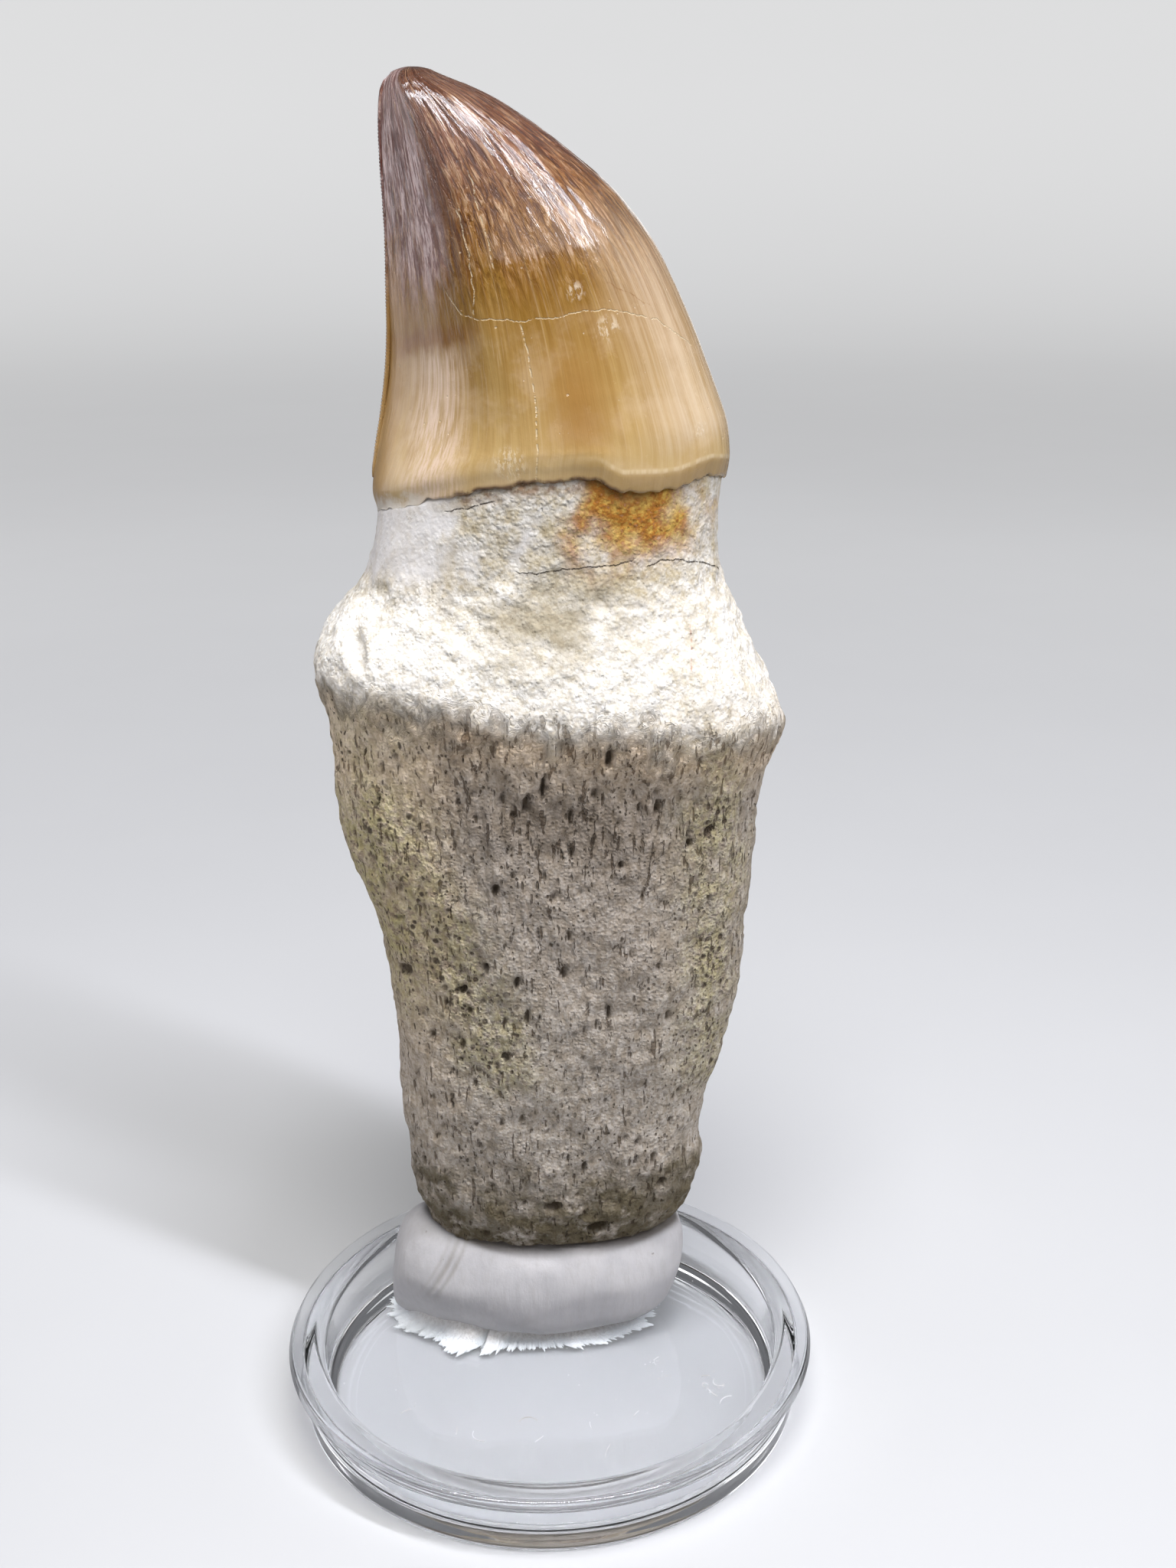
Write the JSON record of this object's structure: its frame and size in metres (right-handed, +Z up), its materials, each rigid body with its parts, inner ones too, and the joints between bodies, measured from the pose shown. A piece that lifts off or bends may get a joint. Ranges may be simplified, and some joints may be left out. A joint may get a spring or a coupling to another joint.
{
  "type": "fossil tooth",
  "caption": "Fossil marine reptile tooth with a curved enamel crown on a swollen bony root, standing in a lump of putty on a small round clear dish.",
  "frame": {"origin": "centre of the dish's underside", "axes": "+Z up along the tooth, +X to the right when the tooth is seen broadside, +Y away from the viewer"},
  "size_m": [0.0508, 0.0508, 0.1214],
  "materials": {
    "fossil": "glossy caramel enamel on the crown, rough cream and grey-beige bone on the root",
    "putty": "matte ivory-white putty, slightly creased",
    "clear_plastic": "clear moulded plastic with fine scuffs"
  },
  "bodies": {
    "root": {"tooth": "fossil", "putty": "putty", "dish": "clear_plastic"}
  },
  "joints": []
}
